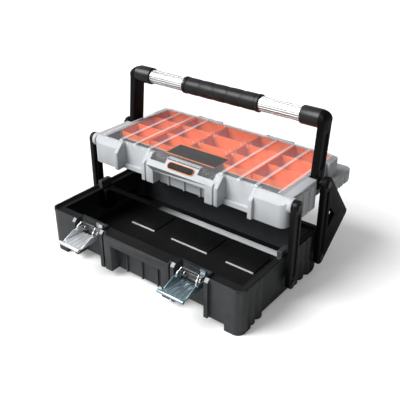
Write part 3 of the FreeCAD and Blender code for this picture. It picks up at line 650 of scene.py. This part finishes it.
# %% Fluted handle tube
flutes, tube_radius = 18, 17.0 * MM
flute_margin, flute_depth, flute_radius, flute_sharp = 0.35 * MM, 0.9 * MM, 0.25 * MM, 25
tube_low, tube_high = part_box("handle_tube")
tube_centre = (tube_low + tube_high) / 2
deselect()
bpy.ops.mesh.primitive_cylinder_add(vertices=2 * flutes, radius=tube_radius,
                                    depth=tube_high.x - tube_low.x,
                                    location=tube_centre, rotation=(0, math.pi / 2, 0))
tube = bpy.context.object
tube.name = "handle_tube_fluted"
settle(tube)


def is_flute(centre, normal):
    on_side = abs(normal.x) < 0.5
    turn = math.atan2(centre.z - tube_centre.z, centre.y - tube_centre.y) / (2 * math.pi)
    return on_side and round(turn * 2 * flutes - 0.5) % 2 == 0


edit_faces(tube, is_flute)
bpy.ops.mesh.inset(thickness=flute_margin, depth=-flute_depth, use_individual=True)
leave_edit()
soften(tube, flute_radius, segments=1, sharp=flute_sharp)
stand_for(tube, "handle_tube", silver)
print("flutes on the tube:", flutes)


# %% [markdown]
# The soft grip is a sleeve with a collar at each end, and shallow swells between them
# that the fingers fall into. It is turned like a pot on a wheel: a ring is extruded along
# the tube step by step and resized at each step, following a list of places and radii.

# %% Soft grip
grip_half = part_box("handle_grip")[1].x
bore, collar_radius, sleeve_radius = 17.05 * MM, 20.5 * MM, 18.7 * MM
collar, collar_edge, collar_slope = 7.0 * MM, 0.8 * MM, 1.2 * MM
swells, swell, swell_inset, swell_fullness = 5, 1.2 * MM, 2.0 * MM, 0.35
grip_sides, grip_steps, smooth_angle = 48, 100, math.radians(40)


def turned_sleeve(name, centre, sides, rings):
    """Rings around an axis along X, each given as (x, radius), joined into a sleeve."""
    deselect()
    x, radius = rings[0]
    bpy.ops.mesh.primitive_circle_add(vertices=sides, radius=radius, location=(x, centre.y, centre.z),
                                      rotation=(0, math.pi / 2, 0))
    piece = bpy.context.object
    piece.name = name
    settle(piece)
    edit_all(piece)
    for next_x, next_radius in rings[1:]:
        bpy.ops.mesh.extrude_region_move(TRANSFORM_OT_translate={"value": (next_x - x, 0, 0)})
        size = next_radius / radius
        bpy.ops.transform.resize(value=(1, size, size), center_override=(next_x, centre.y, centre.z))
        x, radius = next_x, next_radius
    bpy.ops.mesh.select_all(action="SELECT")
    bpy.ops.mesh.normals_make_consistent(inside=False)
    leave_edit()
    return piece


collar_rings = [(-grip_half, bore), (-grip_half, collar_radius - collar_edge),
                (-grip_half + collar_edge, collar_radius), (-grip_half + collar, collar_radius),
                (-grip_half + collar + collar_slope, sleeve_radius)]
span = 2 * (grip_half - collar - swell_inset)
swell_rings = []
for step in range(grip_steps + 1):
    wave = abs(math.sin(math.pi * swells * step / grip_steps)) ** swell_fullness
    swell_rings.append((-span / 2 + span * step / grip_steps, sleeve_radius + swell * wave))
far_rings = [(-x, radius) for x, radius in reversed(collar_rings)]
grip = turned_sleeve("handle_grip_sleeve", tube_centre, grip_sides, collar_rings + swell_rings + far_rings)
pick(grip)
bpy.ops.object.shade_smooth_by_angle(angle=smooth_angle)
stand_for(grip, "handle_grip", rubber)
print("swells on the grip:", swells)


# %% [markdown]
# Each latch has a wire bail: it hooks into the lever's two cheeks, bends up in an S, and
# runs straight through the curled hook plate. Bent wire is a curve with a round section,
# turned into a mesh. A NURBS curve of order three rounds its corners as a bender would.
# The bends of one half are listed in millimetres: out from the middle of the latch, then
# back and up from the pivot or from the straight bar. The other half mirrors them.

# %% Wire bails
wire_radius, cad_wire_radius = 1.9 * MM, 2.0 * MM
bends_from_pivot = [(27.2, 0.0, 0.0), (25.7, 0.0, 1.5), (25.7, 1.0, 7.0), (25.2, 4.0, 11.0)]
bends_from_bar = [(23.0, -5.0, -3.0), (23.0, -1.0, 0.0), (21.0, 0.0, 0.0)]


def bent_wire(name, points, radius):
    deselect()
    bpy.ops.curve.primitive_nurbs_path_add()
    piece = bpy.context.object
    piece.name = name
    path = piece.data
    path.dimensions = "3D"
    spline = path.splines[0]
    spline.points.add(len(points) - len(spline.points))
    for point, place in zip(spline.points, points):
        point.co = (*place, 1.0)
    spline.order_u = 3
    spline.use_endpoint_u = True
    spline.resolution_u = 6
    path.bevel_depth = radius
    path.bevel_resolution = 4
    path.use_fill_caps = True
    bpy.ops.object.convert(target="MESH")
    piece = bpy.context.object
    settle(piece)
    bpy.ops.object.shade_smooth_by_angle(angle=smooth_angle)
    return piece


for side in ("left", "right"):
    low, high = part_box("latch_bail_" + side)
    middle = (low.x + high.x) / 2
    pivot_y, pivot_z = low.y + cad_wire_radius, low.z + cad_wire_radius
    bar_y, bar_z = high.y - cad_wire_radius, high.z - cad_wire_radius
    half = [(high.x - middle, pivot_y, pivot_z)]
    half += [(out * MM, pivot_y + rear * MM, pivot_z + up * MM) for out, rear, up in bends_from_pivot]
    half += [(out * MM, bar_y + rear * MM, bar_z + up * MM) for out, rear, up in bends_from_bar]
    points = [(middle + x, y, z) for x, y, z in half]
    points += [(middle - x, y, z) for x, y, z in reversed(half)]
    bail = bent_wire("latch_wire_" + side, points, wire_radius)
    stand_for(bail, "latch_bail_" + side, wire_zinc)
    print("wire", side, "from z", round(pivot_z, 4), "to", round(bar_z, 4))


# %% [markdown]
# The badge is an oval plate on the sloping front of the organiser. It stays bare: a black
# face inside a thin orange edge. The front face of a rounded copy is inset by the width of
# that edge, pushed in a hair, and the ring of faces around it gets a second material.

# %% Bare badge
badge_radius, badge_edge, badge_recess = 0.3 * MM, 1.1 * MM, 0.5 * MM
badge_slope, ring_slope = 0.98, 0.3
badge = rounded_copy("badge", badge_black, badge_radius)
badge.data.materials.append(badge_orange)
edit_faces(badge, lambda centre, normal: normal.dot(front_and_up) > badge_slope)
bpy.ops.mesh.inset(thickness=badge_edge, depth=-badge_recess)
leave_edit()
ring = [face for face in badge.data.polygons
        if not face.select and face.normal.dot(front_and_up) > ring_slope]
for face in ring:
    face.material_index = 1
print("faces of the badge's orange edge:", len(ring))


# %% [markdown]
# The card lies under the lid, dark and bare but for a plain orange band along its back
# edge and a thin one along its front. Two cuts across the card part the bands off.

# %% Bare card
card_radius, front_band, back_band = 0.2 * MM, 2.5 * MM, 7.0 * MM
card = rounded_copy("card", dark_card, card_radius)
card_low, card_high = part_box("card")
dark_from, dark_to = card_low.y + front_band, card_high.y - back_band
for cut in (dark_from, dark_to):
    edit_all(card)
    bpy.ops.mesh.bisect(plane_co=(0, cut, 0), plane_no=(0, 1, 0))
    leave_edit()
paint(card, badge_orange, lambda centre, normal: not dark_from < centre.y < dark_to)
print("card size", [round(v, 3) for v in card.dimensions])


# %% [markdown]
# A plain pale floor, as in a small photo studio. A white floor would throw so much light
# up that the black pieces turn grey. So the floor has two tones, a pale one that the camera
# sees and a darker one for the light that it throws back. Light Path tells the two apart.

# %% Floor
floor_size, floor_roughness = 30.0, 0.9
floor_seen, floor_lighting, floor_lift = (0.82, 0.82, 0.82), (0.50, 0.50, 0.50), 0.22
white = (1.0, 1.0, 1.0, 1.0)
deselect()
bpy.ops.mesh.primitive_plane_add(size=floor_size, location=(0, 0, 0))
floor = bpy.context.object
floor.name = "floor"
pale = bpy.data.materials.new("pale_floor")
pale.use_nodes = True
tree = pale.node_tree
shader = tree.nodes["Principled BSDF"]
shader.inputs["Roughness"].default_value = floor_roughness
seen_directly = tree.nodes.new("ShaderNodeLightPath").outputs["Is Camera Ray"]
tree.links.new(mix_shades(tree, seen_directly, floor_lighting, floor_seen), shader.inputs["Base Color"])
lift = tree.nodes.new("ShaderNodeMath")
lift.operation = "MULTIPLY"
lift.inputs[1].default_value = floor_lift
tree.links.new(seen_directly, lift.inputs[0])
shader.inputs["Emission Color"].default_value = white
tree.links.new(lift.outputs["Value"], shader.inputs["Emission Strength"])
floor.data.materials.append(pale)
print("floor of", floor_size, "m")


# %% [markdown]
# The light is soft: one wide sun in front, above and to the left, and a sky that is bright
# on the sun's side and dim on the other, as a room with one white wall is. Seen directly,
# the sky is plain white.

# %% Sky and sun
bright_side = (-0.80, -0.45, 0.40)
dim, bright, dim_below, bright_above = 0.03, 0.62, -0.6, 0.9
sun_place, sun_power, sun_spread = Vector((-1.0, -1.4, 1.7)), 4.2, math.radians(40)
sky = bpy.data.worlds.new("studio_sky")
sky.use_nodes = True
tree = sky.node_tree
glow = tree.nodes["Background"]
glow.inputs["Color"].default_value = white
lean = tree.nodes.new("ShaderNodeVectorMath")
lean.operation = "DOT_PRODUCT"
lean.inputs[1].default_value = bright_side
tree.links.new(tree.nodes.new("ShaderNodeTexCoord").outputs["Generated"], lean.inputs[0])
tree.links.new(remap(tree, lean.outputs["Value"], dim, bright, dim_below, bright_above),
               glow.inputs["Strength"])
seen = tree.nodes.new("ShaderNodeBackground")
seen.inputs["Color"].default_value = white
choose = tree.nodes.new("ShaderNodeMixShader")
tree.links.new(tree.nodes.new("ShaderNodeLightPath").outputs["Is Camera Ray"], choose.inputs[0])
tree.links.new(glow.outputs[0], choose.inputs[1])
tree.links.new(seen.outputs[0], choose.inputs[2])
tree.links.new(choose.outputs[0], tree.nodes["World Output"].inputs["Surface"])
bpy.context.scene.world = sky

deselect()
bpy.ops.object.light_add(type="SUN", location=sun_place)
sun = bpy.context.object
sun.name = "front_left_sun"
sun.data.energy = sun_power
sun.data.angle = sun_spread
sun.rotation_mode = "QUATERNION"
sun.rotation_quaternion = (-sun_place).to_track_quat("-Z", "Y")
print("sky from", dim, "to", bright, "and a sun of", sun_power)


# %% [markdown]
# The camera stands where the photograph was taken from. Its place, direction and focal
# length were found from the box's straight edges. The focal length is known in pixels of
# a square frame, and Blender wants millimetres on a sensor, so it is scaled to that.

# %% Camera
camera_place = (0.80693, -1.00812, 0.84967)
azimuth, elevation = math.radians(37.82), math.radians(28.73)
focal_pixels, frame_pixels, sensor_width = 624.46, 400.0, 36.0
back = Vector((math.sin(azimuth) * math.cos(elevation), -math.cos(azimuth) * math.cos(elevation),
               math.sin(elevation)))
bpy.ops.object.camera_add(location=camera_place)
camera = bpy.context.object
camera.rotation_mode = "QUATERNION"
camera.rotation_quaternion = (-back).to_track_quat("-Z", "Y")
camera.data.sensor_width = sensor_width
camera.data.lens = sensor_width * focal_pixels / frame_pixels
camera.data.clip_start, camera.data.clip_end = 0.05, 60.0
bpy.context.scene.camera = camera
bpy.context.scene.view_settings.view_transform = "Standard"
print("camera at", [round(v, 3) for v in camera.location])
